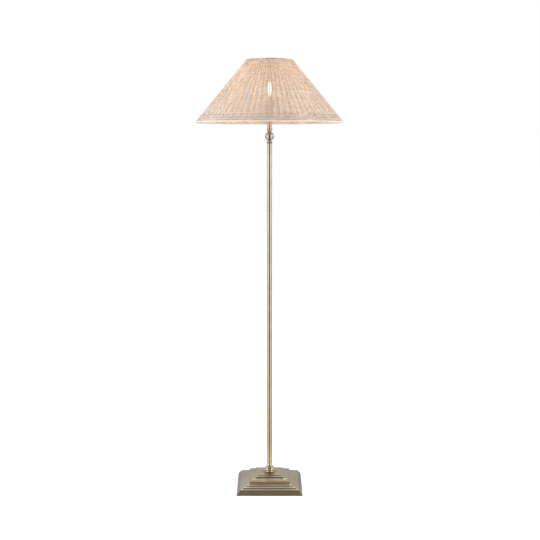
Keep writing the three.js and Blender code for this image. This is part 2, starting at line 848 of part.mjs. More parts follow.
// The woven wall: a thin cone that bows out round each upright stake, on both faces
function makeWovenWall() {
  const bandTop = wallStart + bandRise;
  const profile = [
    onFlank(wallStart, wallHalf + bandRelief),
    onFlank(bandTop, wallHalf + bandRelief),
    onFlank(bandTop + bandShoulder, wallHalf),
    onFlank(wallEnd, wallHalf),
    onFlank(wallEnd, -wallHalf),
    onFlank(wallStart, -wallHalf),
  ];
  const wall = turned([...profile, profile[0]], 2 * stakes);
  const position = wall.getAttribute('position');
  const spot = new THREE.Vector3();
  for (let i = 0; i < position.count; i += 1) {
    spot.fromBufferAttribute(position, i);
    const radius = Math.hypot(spot.x, spot.y);
    const offset = new THREE.Vector2(radius, spot.z).sub(rimCentre).dot(outOfFlank);
    const onStake = (1 + Math.cos(stakes * Math.atan2(spot.y, spot.x))) / 2;
    const relief = offset > 0 ? stakeRelief : -stakeReliefInside;
    const share = (radius + relief * onStake * outOfFlank.x) / radius;
    position.setXYZ(i, spot.x * share, spot.y * share, spot.z + relief * onStake * outOfFlank.y);
  }
  return wall;
}

// A rolled border, swollen where each pair of stakes turns down into it
function makeBorder(centre, roll, sectionSides, steps) {
  const border = new THREE.TorusGeometry(centre.x, roll, sectionSides, steps);
  const position = border.getAttribute('position');
  const spot = new THREE.Vector3();
  for (let i = 0; i < position.count; i += 1) {
    spot.fromBufferAttribute(position, i);
    const angle = Math.atan2(spot.y, spot.x);
    const radius = Math.hypot(spot.x, spot.y);
    const around = Math.atan2(spot.z, radius - centre.x);
    const swell = 1 + rollBumpShare * Math.cos((steps / 2) * angle) * Math.cos(around);
    const out = centre.x + (radius - centre.x) * swell;
    position.setXYZ(i, out * Math.cos(angle), out * Math.sin(angle), centre.y + spot.z * swell);
  }
  return closed(border);
}

function makeWireRing(way) {
  const [radius, height] = onFlank(way, insideOffset - frameWireRadius);
  const ring = new THREE.TorusGeometry(radius, frameWireRadius, wireSides, 2 * roundSides);
  return closed(ring.translate(0, 0, height));
}

function makeRibWire(angle) {
  const offset = insideOffset - ribWireRadius;
  const low = onFlank(rimRingWay + frameWireRadius + seam, offset);
  const high = onFlank(crownRingWay - frameWireRadius - seam, offset);
  const start = new THREE.Vector3(low[0] * Math.cos(angle), low[0] * Math.sin(angle), low[1]);
  const end = new THREE.Vector3(high[0] * Math.cos(angle), high[0] * Math.sin(angle), high[1]);
  const length = start.distanceTo(end);
  const wire = new THREE.CylinderGeometry(ribWireRadius, ribWireRadius, length, wireSides);
  const direction = end.clone().sub(start).normalize();
  wire.applyQuaternion(new THREE.Quaternion().setFromUnitVectors(new THREE.Vector3(0, 1, 0), direction));
  const middle = start.add(end).multiplyScalar(0.5);
  return closed(wire.translate(middle.x, middle.y, middle.z));
}

function makeArm(angle) {
  const [ringRadius, ringHeight] = onFlank(crownRingWay, insideOffset - frameWireRadius);
  const level = fitterLow + fitterThickness / 2;
  const foot = new THREE.Vector3(fitterRadius + seam, 0, level);
  const knee = new THREE.Vector3(fitterRadius + armFoot, 0, level);
  const ring = new THREE.Vector3(ringRadius, 0, ringHeight);
  const rise = ring.clone().sub(knee).normalize();
  const head = ring.clone().addScaledVector(rise, -(frameWireRadius + seam));
  const section = new THREE.Shape().absarc(0, 0, armRadius, 0, 2 * Math.PI);
  const arm = new THREE.ExtrudeGeometry(section, {
    extrudePath: new THREE.QuadraticBezierCurve3(foot, knee, head),
    steps: armSteps,
    curveSegments: wireSides / 2,
    bevelEnabled: false,
  });
  return closed(arm.rotateZ(angle));
}

function addShade() {
  const fitterTop = fitterLow + fitterThickness;
  const fitter = sleeve(holderRadius + seam, fitterRadius, fitterLow, fitterTop, roundSides);
  addPiece('fitter_ring', fitter, 'whiteWire');
  for (let i = 0; i < arms; i += 1) {
    const angle = Math.PI / 2 + (i * 2 * Math.PI) / arms;
    addPiece(`fitter_arm_${i + 1}`, makeArm(angle), 'whiteWire');
  }
  addPiece('crown_wire', makeWireRing(crownRingWay), 'whiteWire');
  addPiece('rim_wire', makeWireRing(rimRingWay), 'whiteWire');
  for (let i = 0; i < ribWires; i += 1) {
    const angle = Math.PI / 2 + (i * 2 * Math.PI) / ribWires;
    addPiece(`rib_wire_${i + 1}`, makeRibWire(angle), 'whiteWire');
  }
  addPiece('woven_wall', makeWovenWall(), 'rattan');
  addPiece('crown_border', makeBorder(crownCentre, crownRoll, 6, stakes), 'rattanDark');
  addPiece('rim_border', makeBorder(rimCentre, rimRoll, 8, stakes), 'rattanDark');
}

addBase();
addStem();
addBall();
addLampholder();
addBulb();
addShade();

export default lamp;
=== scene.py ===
# A floor lamp: a woven rattan shade on a slim brass stem with a glass ball, on a stepped square base.
# Metres, +Z up, the origin on the floor under the middle of the base, the front towards -Y.
import json
from functools import partialmethod
from math import acos, atan2, cos, hypot, pi, radians, sin

import bmesh
import bpy
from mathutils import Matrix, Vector


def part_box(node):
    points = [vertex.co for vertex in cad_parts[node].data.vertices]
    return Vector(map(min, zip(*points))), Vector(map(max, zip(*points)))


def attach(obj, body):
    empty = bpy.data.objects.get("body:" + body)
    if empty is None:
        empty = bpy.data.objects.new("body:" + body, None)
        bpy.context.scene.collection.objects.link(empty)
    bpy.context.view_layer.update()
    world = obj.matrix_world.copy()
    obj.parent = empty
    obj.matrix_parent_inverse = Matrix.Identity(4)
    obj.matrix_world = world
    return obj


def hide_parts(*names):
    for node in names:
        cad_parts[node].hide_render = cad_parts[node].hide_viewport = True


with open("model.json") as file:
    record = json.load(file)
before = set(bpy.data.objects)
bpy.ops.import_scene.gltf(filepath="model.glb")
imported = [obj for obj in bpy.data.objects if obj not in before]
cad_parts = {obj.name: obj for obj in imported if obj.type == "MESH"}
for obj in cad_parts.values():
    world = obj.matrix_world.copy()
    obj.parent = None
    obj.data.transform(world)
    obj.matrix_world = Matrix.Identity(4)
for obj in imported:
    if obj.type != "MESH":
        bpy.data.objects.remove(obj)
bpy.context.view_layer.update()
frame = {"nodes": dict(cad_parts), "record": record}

scene = bpy.context.scene
nodes = frame["nodes"]
MM = 0.001

# Camera, as the photograph was taken
camera_distance = 3.2698
camera_side = 0.0016
camera_height = 1.2161
camera_pitch = radians(7.5883)
camera_lens = 62.886
sensor_width = 36
view_depth = 60

# Light
ambient = 0.52
backdrop = 1.0
panel_size = 2.4
panel_aim = (0, 0, 1.2)
side_light = (0.82, 1.0, 1.19)
left_power = 108
right_power = 91
front_power = 15
top_power = 20
bulb_power = 3.6
bulb_light = (1.0, 0.9, 0.76)

# Floor
floor_reach = 12
floor_grey = 0.85
floor_white = 1.5  # its own light, as the camera sees it
floor_own = 0.56  # the share of own light in what the camera sees of the floor
bounce = 0.4  # and in what the floor throws back at the lamp
near_reach = (0.14, 2.3)  # the near floor gives way to the far between these distances

# Levels of the room, as polished metal reflects them and the glass ball bends them
front_shade = 0.038  # the dark room in front
front_high = 0.05  # and higher up
front_glow = 0.42  # the pale panel above the camera
panel_level = 1.25  # the bright panels at the sides
panel_end = 0.42  # how much darker they are behind the lamp
right_end = 0.08  # and how much more so at the right
ceiling_level = 0.72
wall_low = 0.6  # the wall behind, near the floor
wall_high = 1.0  # and higher up
floor_ahead = 0.07  # the floor far in front
floor_front = 0.275  # the floor in front of the base
floor_near = 0.9  # behind it
floor_beside = 1.3  # and at its sides
floor_end = 0.64  # how much darker the sides are behind the lamp
cool_tint = (0.92, 1.03, 1.27)  # of what comes from behind
warm_tint = (1.0, 0.93, 0.8)  # and from the front
glass_clear = 0.93  # what shows straight through the glass ball
glass_rim = 0.12  # and what its edge bends into view

# Edges in the room: how far to the side, back or up a direction points where one starts and ends
panel_near = (0.37, 0.57)
panel_far = (0.8, 0.97)
panel_fade = (-0.45, 0.1)
panel_top = (0.5, 0.85)
left_to_right = (-0.1, 0.1)
dark_top = (0.4, 0.6)
glow_low = (0.0, 0.2)
glow_high = (0.42, 0.6)
wall_rise = (0.25, 0.62)
front_to_back = (-0.2, 0.3)
ceiling_edge = (0.87, 0.97)
cool_back = (0.2, 0.7)
cool_top = (0.35, 0.7)
warm_back = (-0.5, -0.05)
warm_top = (0.84, 0.92)
near_back = (-0.4, 0.3)
floor_cool = (0.0, 0.5)
floor_warm = (-0.6, -0.1)
clear_back = (0.7, 0.92)
clear_side = (0.5, 0.75)
clear_end = (0.2, 0.4)

# Shade, in its own sizes
stakes = 72
stake_radius = 1.1 * MM
stake_drift = 0.9 * MM  # how much a stake strays, from side to side
cane_radius = 1.1 * MM
cane_swing = 1.95 * MM
cane_drift = 0.7 * MM
cane_steps = 288
cane_tone = 0.47  # the mean tone of cane, from dark at 0 to pale at 1
bow_highlight = 0.7  # a painted highlight: how much paler cane is where it bows over a stake
mean_bow = 0.42  # the mean of a cosine's size to the third power
row_pitch = 2.3 * MM
wall_out = 0.15 * MM  # the weave's middle, outside the line between the borders
wale_canes = 3
wale_radius = 1.5 * MM
wale_swing = 1.75 * MM
wale_height = 17 * MM
wale_rows = 6
weave_lots = (  # of cane, with how far up the weave each ends, as a share, and its seed
    ("lower_rows", 0.32, 3.7), ("middle_rows", 0.66, 503.7), ("upper_rows", 1.0, 711.2),
)
border_strands = 3
border_inset = 1.12  # from a border's outer edge to its middle, as a share of its half height
border_lay = 0.44  # from there to the middle of a strand
border_strand = 0.52  # and a strand's own radius
strand_drift = 0.5 * MM
rim_twists = 48
crown_twists = 24
rib_count = 6
rib_radius = 1.4 * MM
arm_count = 3
arm_bow = 12 * MM

# Heights of the base's steps. The treads slope, so each upright's foot is above the tread's edge
base_low, base_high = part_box("base_shell")
plinth_top = base_low.z + 17 * MM
lower_foot = plinth_top + 1.4 * MM
lower_top = plinth_top + 4 * MM
upper_foot = lower_top + 2 * MM
upper_top = lower_top + 4.2 * MM
cushion_foot = upper_top + 3 * MM
cushion_swell = upper_top + 6.2 * MM
cushion_top = cushion_swell + 11.1 * MM
platform_top = cushion_top + 3.5 * MM
pad_foot = platform_top + 0.9 * MM
# The treads take painted highlights and the uprights painted shade
treads = (
    (plinth_top, lower_foot), (lower_top, upper_foot), (upper_top, cushion_foot + 0.5 * MM),
    (cushion_top - 3.2 * MM, cushion_top), (platform_top, pad_foot),
)
uprights = (
    (0, 2 * MM), (lower_foot, lower_top), (upper_foot, upper_top), (cushion_top, platform_top),
    (pad_foot, base_high.z - 0.2 * MM),
)

# Heights of painted shade: on the bead under the glass ball, on the rod in it, and on the ball's top
bead_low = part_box("lower_ball_collar")[0].z
ball_low, ball_high = (corner.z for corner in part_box("glass_ball"))
painted_dark_bead = ((bead_low - 0.4 * MM, bead_low + 4.3 * MM),)
painted_dark_rod = ((ball_low + 0.4 * MM, ball_high - 1.25 * MM),)
painted_reflection_heights = (ball_high - 7.25 * MM, ball_high - 2.25 * MM)


class Value:
    """A number or colour that varies, and takes part in sums by adding maths nodes."""

    def __init__(self, graph, socket):
        self.graph = graph
        self.socket = socket

    def maths(self, operation, other=0):
        return self.graph.node("ShaderNodeMath", [self, other], operation=operation)

    def swapped(self, operation, other):
        return self.graph.node("ShaderNodeMath", [other, self], operation=operation)

    __add__ = partialmethod(maths, "ADD")
    __radd__ = partialmethod(swapped, "ADD")
    __sub__ = partialmethod(maths, "SUBTRACT")
    __rsub__ = partialmethod(swapped, "SUBTRACT")
    __mul__ = partialmethod(maths, "MULTIPLY")
    __rmul__ = partialmethod(swapped, "MULTIPLY")
    __truediv__ = partialmethod(maths, "DIVIDE")
    __pow__ = partialmethod(maths, "POWER")
    cosine = partialmethod(maths, "COSINE")
    sine = partialmethod(maths, "SINE")
    size = partialmethod(maths, "ABSOLUTE")
    whole = partialmethod(maths, "FLOOR")
    larger = partialmethod(maths, "MAXIMUM")

    def between(self, low, high):
        """0 below low, 1 above high, and smooth between them."""
        values = {"Value": self, 1: low, 2: high}
        return self.graph.node("ShaderNodeMapRange", values, interpolation_type="SMOOTHSTEP")


class Graph:
    """A tree of nodes, for a material, the world or a shape."""

    def __init__(self, tree):
        self.tree = tree
        tree.nodes.clear()

    def node(self, kind, values=(), output=0, **settings):
        made = self.tree.nodes.new(kind)
        for key, setting in settings.items():
            if key == "stops":
                self.fill_ramp(made.color_ramp, setting)
            else:
                setattr(made, key, setting)
        pairs = values.items() if isinstance(values, dict) else enumerate(values)
        for key, value in pairs:
            self.feed(made.inputs[key], value)
        return Value(self, made.outputs[output]) if made.outputs else None

    def feed(self, socket, value):
        if isinstance(value, Value):
            self.tree.links.new(value.socket, socket)
        else:
            socket.default_value = value

    def fill_ramp(self, ramp, stops):
        while len(ramp.elements) < len(stops):
            ramp.elements.new(0.5)
        for element, (place, colour) in zip(ramp.elements, stops):
            element.position = place
            element.color = (*colour, 1)

    def solid(self, colour):
        return colour if isinstance(colour, Value) else (*colour, 1)

    def blend(self, factor, first, second, kind="MIX"):
        """A colour between two colours."""
        values = {0: factor, 6: self.solid(first), 7: self.solid(second)}
        return self.node("ShaderNodeMix", values, 2, data_type="RGBA", blend_type=kind)

    def tinted(self, colour, other):
        """One colour multiplied by another."""
        return self.blend(1.0, colour, other, "MULTIPLY")

    def place(self):
        return self.node("ShaderNodeTexCoord", output=3)

    def stretched(self, scale):
        """The place on the piece, scaled along each axis."""
        return self.node("ShaderNodeMapping", {"Vector": self.place(), "Scale": scale})

    def noise(self, scale, detail=3.0, roughness=0.55, stretch=None):
        where = self.stretched(stretch) if stretch else self.place()
        values = {"Vector": where, "Scale": scale, "Detail": detail, "Roughness": roughness}
        return self.node("ShaderNodeTexNoise", values)

    def parts(self, vector):
        """A vector's X, Y and Z."""
        split = self.tree.nodes.new("ShaderNodeSeparateXYZ")
        self.feed(split.inputs[0], vector)
        return [Value(self, part) for part in split.outputs]

    def height(self):
        return self.parts(self.place())[2]

    def at_heights(self, ranges):
        """1 where the height is in one of these ranges, and 0 elsewhere."""
        height, mask, blur = self.height(), 0, 0.2 * MM
        for low, high in ranges:
            above = height.between(low - blur, low + blur)
            mask = mask + above * (1 - height.between(high - blur, high + blur))
        return mask

    def relief(self, height, strength, depth):
        """A surface made uneven by a pattern."""
        values = {"Strength": strength, "Distance": depth, "Height": height}
        return self.node("ShaderNodeBump", values)


by_slot = {}


def surface(name, recipe, **constants):
    """A material: the recipe returns what varies over it, by the shader's own socket names."""
    material = bpy.data.materials.new(name)
    material.use_nodes = True
    graph = Graph(material.node_tree)
    sockets = recipe(graph)
    for socket, value in constants.items():
        sockets[socket.replace("_", " ")] = value
    shader = graph.node("ShaderNodeBsdfPrincipled", sockets)
    graph.node("ShaderNodeOutputMaterial", {"Surface": shader})
    by_slot[name] = material


# Metals. A ramp of tones runs from the floor up to tone_top, in metres

tone_top = 1.5
base_tones = [(0.0, (0.53, 0.415, 0.265)), (1.0, (0.51, 0.4, 0.25))]
# Painted light up the stem: a highlight on the foot collar, darker low down, a shaded rod, a painted
# reflection on the neck
stem_painted_light_tones = [
    (0.05, (0.76, 0.66, 0.48)), (0.1, (0.54, 0.475, 0.37)), (0.3, (0.64, 0.58, 0.475)),
    (0.55, (0.74, 0.69, 0.59)), (0.813, (0.78, 0.71, 0.6)), (0.8164, (0.6, 0.5, 0.4)),
    (0.8388, (0.48, 0.38, 0.28)), (0.841, (0.46, 0.35, 0.25)), (0.842, (0.74, 0.6, 0.45)),
    (0.8455, (0.72, 0.58, 0.44)), (0.8462, (0.78, 0.63, 0.47)),
]
brass_tones = [(0.0, (0.6, 0.46, 0.24)), (1.0, (0.62, 0.47, 0.25))]
steel_tones = [(0.0, (0.5, 0.51, 0.52)), (1.0, (0.52, 0.53, 0.54))]
white = (1, 1, 1)
cloud_tint = (0.9, 0.87, 0.82)
speck_tint = (0.93, 0.91, 0.88)
turning_lines = (8, 8, 908)  # scales that draw a pattern out into fine rings round the axis
# Painted light on the base: shade on its uprights and round the collar's foot, highlights on its mitres
# and treads
painted_shade_brass = (0.3, 0.24, 0.16)
painted_highlight_brass = (0.84, 0.76, 0.62)
painted_shade_stem_brass = (0.22, 0.17, 0.12)
mitre_highlight_edge = (0.2 * MM, 1.4 * MM)
tread_edge = (-1.5 * MM, 0)
collar_shadow_reach = (18 * MM, 32 * MM)  # the painted shadow and reflection round the collar's foot on the pad fades out between these distances
pad_edge = (pad_foot - 0.1 * MM, pad_foot + 0.9 * MM)


def polished(tones, roughness, blotch=22.0):
    """Brass or steel whose tone changes with height, with cloudy tarnished patches and fine turning
    lines.
    """
    def recipe(graph):
        own = graph.node("ShaderNodeValToRGB", [graph.height() / tone_top], stops=tones)
        cloud = graph.noise(blotch, detail=4.0).between(0.35, 0.68)
        speck = graph.noise(340.0, detail=2.0).between(0.52, 0.75)
        lines = graph.noise(1.0, detail=2.0, stretch=turning_lines)
        toned = graph.tinted(own, graph.blend(cloud, white, cloud_tint))
        return {
            "Base Color": graph.tinted(toned, graph.blend(speck, white, speck_tint)),
            "Roughness": roughness + 0.06 * cloud + 0.04 * lines,
            "Normal": graph.relief(lines, 0.06, 0.03 * MM),
        }
    return recipe


def base_brass_painted_light(graph):
    """Brass: painted shade on uprights and by the collar, painted highlights on mitres, front and back
    treads.
    """
    sockets = polished(base_tones, 0.33, 16.0)(graph)
    side, back, height = (part.size() for part in graph.parts(graph.place()))
    away = (side * side + back * back) ** 0.5
    mitre_highlight = 1 - (side - back).size().between(*mitre_highlight_edge)
    seat = (1 - away.between(*collar_shadow_reach)) * height.between(*pad_edge)
    patchy = graph.noise(45.0).between(0.25, 0.6)
    # Painted shade on the uprights, and a painted shadow and reflection of the collar on the pad round
    # its foot
    painted_shade = graph.at_heights(uprights) + seat * 0.6
    # Painted highlights on the front and back treads and along the mitres
    tread_highlight = graph.at_heights(treads) * (back - side).between(*tread_edge)
    painted_highlight = (tread_highlight + mitre_highlight) * (0.45 + 0.4 * patchy)
    own = graph.blend(painted_shade, sockets["Base Color"], painted_shade_brass)
    sockets["Base Color"] = graph.blend(painted_highlight, own, painted_highlight_brass)
    return sockets


def stem_brass_painted_light(graph):
    """Stem brass: painted light along its height, painted shade on the bead under the ball and the rod
    through it.
    """
    sockets = polished(stem_painted_light_tones, 0.13)(graph)
    # Painted shade on the bead and on the rod seen through the glass
    dark = graph.at_heights(painted_dark_bead) * 0.8 + graph.at_heights(painted_dark_rod) * 0.6
    sockets["Base Color"] = graph.blend(dark, sockets["Base Color"], painted_shade_stem_brass)
    return sockets


def cast(colour, pale):
    def recipe(graph):
        grain = graph.noise(420.0, detail=5.0, roughness=0.7)
        return {
            "Base Color": graph.blend(grain.between(0.3, 0.75), colour, pale),
            "Roughness": 0.6 + 0.25 * grain,
            "Normal": graph.relief(grain, 0.5, 0.3 * MM),
        }
    return recipe


def coated(graph):
    """Wire with a thin, slightly cloudy coat of lacquer."""
    cloud = graph.noise(60.0)
    grain = graph.noise(900.0, detail=2.0)
    return {
        "Base Color": graph.blend(cloud.between(0.3, 0.7), (0.7, 0.62, 0.5), (0.62, 0.53, 0.41)),
        "Roughness": 0.38 + 0.15 * grain,
        "Normal": graph.relief(grain, 0.2, 0.1 * MM),
    }


# Felt, plastics, glass and light

clear_tints = ((0.9, 0.86, 0.81), (0.87, 0.82, 0.76))
# Painted shade on the ball's rim, and a painted reflection of the collar and shade on its top
painted_rim_shade_tint = (0.33, 0.3, 0.27)
painted_reflection_tint = (0.5, 0.44, 0.38)
glass_edge = (0.42, 0.7)


def felted(graph):
    fibres = graph.noise(900.0, detail=5.0, roughness=0.75, stretch=(1, 1, 4))
    clumps = graph.noise(90.0)
    return {
        "Base Color": graph.blend(fibres * clumps * 2, (0.012, 0.013, 0.014), (0.05, 0.05, 0.055)),
        "Roughness": 0.85 + 0.12 * fibres,
        "Normal": graph.relief(fibres, 0.7, 0.3 * MM),
    }


def moulded(colour, pale):
    def recipe(graph):
        grain = graph.noise(700.0)
        cloud = graph.noise(40.0)
        return {
            "Base Color": graph.blend(cloud.between(0.3, 0.7), colour, pale),
            "Roughness": 0.32 + 0.25 * grain,
            "Normal": graph.relief(grain, 0.15, 0.08 * MM),
        }
    return recipe


def clear_glass(graph):
    streak = graph.noise(60.0, stretch=(1, 1, 0.2))
    # Painted shade: the rim darkens where the glass faces away
    edge = graph.node("ShaderNodeLayerWeight", [0.5], 1).between(*glass_edge)
    clear = graph.blend(edge, graph.blend(streak, *clear_tints), painted_rim_shade_tint)
    return {
        # Painted reflection: the ball's top is darker
        "Base Color": graph.blend(graph.height().between(*painted_reflection_heights) * 0.8, clear, painted_reflection_tint),
        "Roughness": 0.01 + 0.02 * streak.between(0.5, 0.8),
    }


def lit_glass(graph):
    streak = graph.noise(80.0, stretch=(1, 1, 0.3))
    return {
        "Base Color": graph.blend(streak, (0.06, 0.05, 0.04), (0.03, 0.025, 0.02)),
        "Roughness": 0.05 + 0.05 * streak,
        "Alpha": 0.1 + 0.06 * streak,
    }


def glowing(graph):
    beads = graph.noise(500.0, detail=2.0, stretch=(1, 1, 1.5))
    warm = graph.blend(beads.between(0.35, 0.7), (1.0, 0.94, 0.82), (1.0, 0.98, 0.9))
    return {"Base Color": warm, "Roughness": 0.5 + 0.2 * beads, "Emission Color": warm}


# Rattan

painted_shadow_heights = (1.2938, 1.3029, 1.3121)  # where painted shadow lines run round the shade, in and just above the band
painted_shadow_edge = (0.5 * MM, 1.9 * MM)
painted_pale_edge = (1.3, 1.46)  # the heights between which the painted paleness of the lower shade fades out
tint_edge = (1.371, 1.374)  # and between which the lower tint gives way to the upper
upper_tint = (1.0, 0.99, 0.96)
lower_tint = (0.97, 0.94, 0.92)


def cane(pale, mid, dark):
    """Peeled rattan: each length of cane has its own tone, with fibres, cloudy patches and dark marks."""
    palest = [(share + 0.6) / 1.6 for share in pale]
    painted_pale = [(share + 1.1) / 2 for share in pale]
    painted_shadow_colour = [share * 0.8 for share in dark]
    mark_colour = [share * 0.5 for share in dark]
    stops = [(0.0, dark), (0.35, mid), (0.7, pale), (1.0, palest)]

    def recipe(graph):
        tone = graph.node("ShaderNodeAttribute", output=2, attribute_name="tone")
        own = graph.node("ShaderNodeValToRGB", [tone], stops=stops)
        height = graph.height()
        # Painted light: the lower shade is paler
        painted_paleness = 1 - height.between(*painted_pale_edge)
        below = 1 - height.between(*tint_edge)
        # Painted shadow lines round the band, patchy along their length
        painted_shadows = 0
        for level in painted_shadow_heights:
            painted_shadows = painted_shadows + (1 - (height - level).size().between(*painted_shadow_edge))
        shadow_patches = graph.noise(17.0, stretch=(1, 1, 0.2)).between(0.36, 0.56)
        patch = graph.noise(26.0, detail=4.0, roughness=0.6).between(0.36, 0.66)
        fibre = graph.noise(1500.0, roughness=0.7)
        mark = graph.noise(190.0, detail=2.0, roughness=0.5).between(0.68, 0.78)
        toned = graph.blend(patch * 0.3, own, mid)
        toned = graph.blend(painted_paleness * 0.3, toned, painted_pale)
        toned = graph.blend(fibre.between(0.4, 0.8) * 0.3, toned, dark)
        toned = graph.tinted(toned, graph.blend(below, upper_tint, lower_tint))
        toned = graph.blend(painted_shadows * (0.2 + 0.55 * shadow_patches), toned, painted_shadow_colour)
        return {
            "Base Color": graph.blend(mark * 0.55, toned, mark_colour),
            "Roughness": 0.4 + 0.2 * fibre,
            "Normal": graph.relief(fibre, 0.4, 0.12 * MM),
        }
    return recipe


# Materials, one for each finish in the record

surface("base_brass", base_brass_painted_light, Metallic=1.0)
surface("stem_brass", stem_brass_painted_light, Metallic=1.0)
surface("plain_brass", polished(brass_tones, 0.28), Metallic=1.0)
surface("steel", polished(steel_tones, 0.35), Metallic=1.0)
surface("iron", cast((0.045, 0.046, 0.05), (0.1, 0.1, 0.105)), Metallic=0.5)
surface("wire", coated)
surface("felt", felted)
surface("black_plastic", moulded((0.012, 0.012, 0.013), (0.03, 0.03, 0.03)))
surface("fibre", moulded((0.62, 0.57, 0.48), (0.5, 0.44, 0.35)))
surface("porcelain", moulded((0.8, 0.78, 0.72), (0.74, 0.71, 0.64)), Coat_Weight=0.6)
surface("ball_glass", clear_glass, Transmission_Weight=1.0, IOR=1.5)
surface("bulb_glass", lit_glass, IOR=1.45)
surface("filament", glowing, Emission_Strength=3.3)
surface("rattan", cane((0.88, 0.7, 0.55), (0.76, 0.57, 0.425), (0.52, 0.35, 0.23)))
surface("rattan_border", cane((1.0, 0.83, 0.6), (0.9, 0.69, 0.48), (0.5, 0.36, 0.26)))

slot_of = {row["node"]: row["material_slot"] for row in frame["record"]["subparts"]}
body_of = {node: body for body, group in frame["record"]["behaviour"]["bodies"].items() for node in group}
for name, piece in nodes.items():
    piece.data.materials.clear()
    piece.data.materials.append(by_slot[slot_of[name]])


# Making pieces

touching = 0.0001 * MM
seam_reach = 0.005 * MM


def part_way(first, second, share):
    return first + (second - first) * share


def finished(name, mesh, node, *more_nodes, sharp=radians(32)):
    """Puts a mesh in the scene as a piece that stands for a node and takes on its body and finish."""
    mesh.name = name
    mesh.shade_smooth()
    mesh.set_sharp_from_angle(angle=sharp)
    if not mesh.materials:
        mesh.materials.append(by_slot[slot_of[node]])
    piece = bpy.data.objects.new(name, mesh)
    scene.collection.objects.link(piece)
    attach(piece, body_of[node])
    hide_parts(node, *more_nodes)


def mesh_of(form):
    """The form as a plain mesh, with its faces pointing outwards."""
    bmesh.ops.recalc_face_normals(form, faces=form.faces)
    mesh = bpy.data.meshes.new("form")
    form.to_mesh(mesh)
    form.free()
    return mesh


def run_modifiers(rough):
    """The plain mesh that an object's modifiers make. The object itself goes."""
    ready = rough.evaluated_get(bpy.context.evaluated_depsgraph_get())
    mesh = bpy.data.meshes.new_from_object(ready)
    bpy.data.objects.remove(rough)
    return mesh


def mesh_from(rings, closed_way=False):
    """A skin over rings of points, one after another. Rings on the axis become one point."""
    form = bmesh.new()
    rows = [[form.verts.new(point) for point in ring] for ring in rings]
    pairs = list(zip(rows, rows[1:]))
    if closed_way:
        pairs.append((rows[-1], rows[0]))
    for low, high in pairs:
        for i in range(len(low)):
            j = (i + 1) % len(low)
            form.faces.new((low[i], low[j], high[j], high[i]))
    bmesh.ops.remove_doubles(form, verts=form.verts, dist=touching)
    bmesh.ops.dissolve_degenerate(form, edges=form.edges, dist=touching)
    return mesh_of(form)


def turned(outline, sides, closed=True):
    """An outline of (radius, height) turned about the upright axis."""
    angles = [2 * pi * i / sides for i in range(sides)]
    rings = [[(radius * cos(a), radius * sin(a), height) for a in angles] for radius, height in outline]
    return mesh_from(rings, closed_way=closed)


def section(node):
    """The half outline of a turned node, read off its front seam, and whether it closes on itself."""
    form = bmesh.new()
    form.from_mesh(nodes[node].data)
    bmesh.ops.remove_doubles(form, verts=form.verts, dist=seam_reach)
    seam = {v for v in form.verts if abs(v.co.x) < seam_reach and v.co.y < seam_reach}
    beside = {v: [e.other_vert(v) for e in v.link_edges if e.other_vert(v) in seam] for v in seam}
    ends = [v for v in seam if len(beside[v]) == 1]
    here = min(ends or seam, key=lambda v: (round(v.co.z, 6), -v.co.y))
    walk = [here]
    while True:
        ahead = [v for v in beside[here] if v not in walk]
        if not ahead:
            break
        here = ahead[0]
        walk.append(here)
    outline = [(abs(v.co.y), v.co.z) for v in walk]
    form.free()
    return outline, not ends


def eased(outline, closed, steps=4, gentle=radians(42), uneven=3.5):
    """The same outline with its gentle bends run into curves, and its sharp corners left as they are."""
    points = [Vector(point) for point in outline]
    count = len(points)

    def is_gentle(i):
        if not closed and i in (0, count - 1):
            return False
        before = points[i] - points[i - 1]
        after = points[(i + 1) % count] - points[i]
        shorter, longer = sorted((before.length, after.length))
        return shorter > touching and before.angle(after) < gentle and longer / shorter < uneven

    smooth = []
    for i in range(count if closed else count - 1):
        start, end = points[i], points[(i + 1) % count]
        smooth.append(start)
        first, last = is_gentle(i), is_gentle((i + 1) % count)
        if not (first or last):
            continue
        chord = end - start
        leave = (end - points[i - 1]).normalized() * chord.length if first else chord
        arrive = (points[(i + 2) % count] - start).normalized() * chord.length if last else chord
        if not first:
            leave = 2 * chord - arrive
        if not last:
            arrive = 2 * chord - leave
        for k in range(1, steps):
            t = k / steps
            near = (2 * t ** 3 - 3 * t ** 2 + 1) * start + (t ** 3 - 2 * t ** 2 + t) * leave
            far = (3 * t ** 2 - 2 * t ** 3) * end + (t ** 3 - t ** 2) * arrive
            smooth.append(near + far)
    if not closed:
        smooth.append(points[-1])
    return [(max(point.x, 0), point.y) for point in smooth]


def smoothed(node, name, sides=72):
    """A turned node made again with a fine round and with its mouldings run into curves."""
    outline, closed = section(node)
    finished(name, turned(eased(outline, closed), sides, closed), node)


# Shapes that follow a rule, grown by trees of geometry nodes

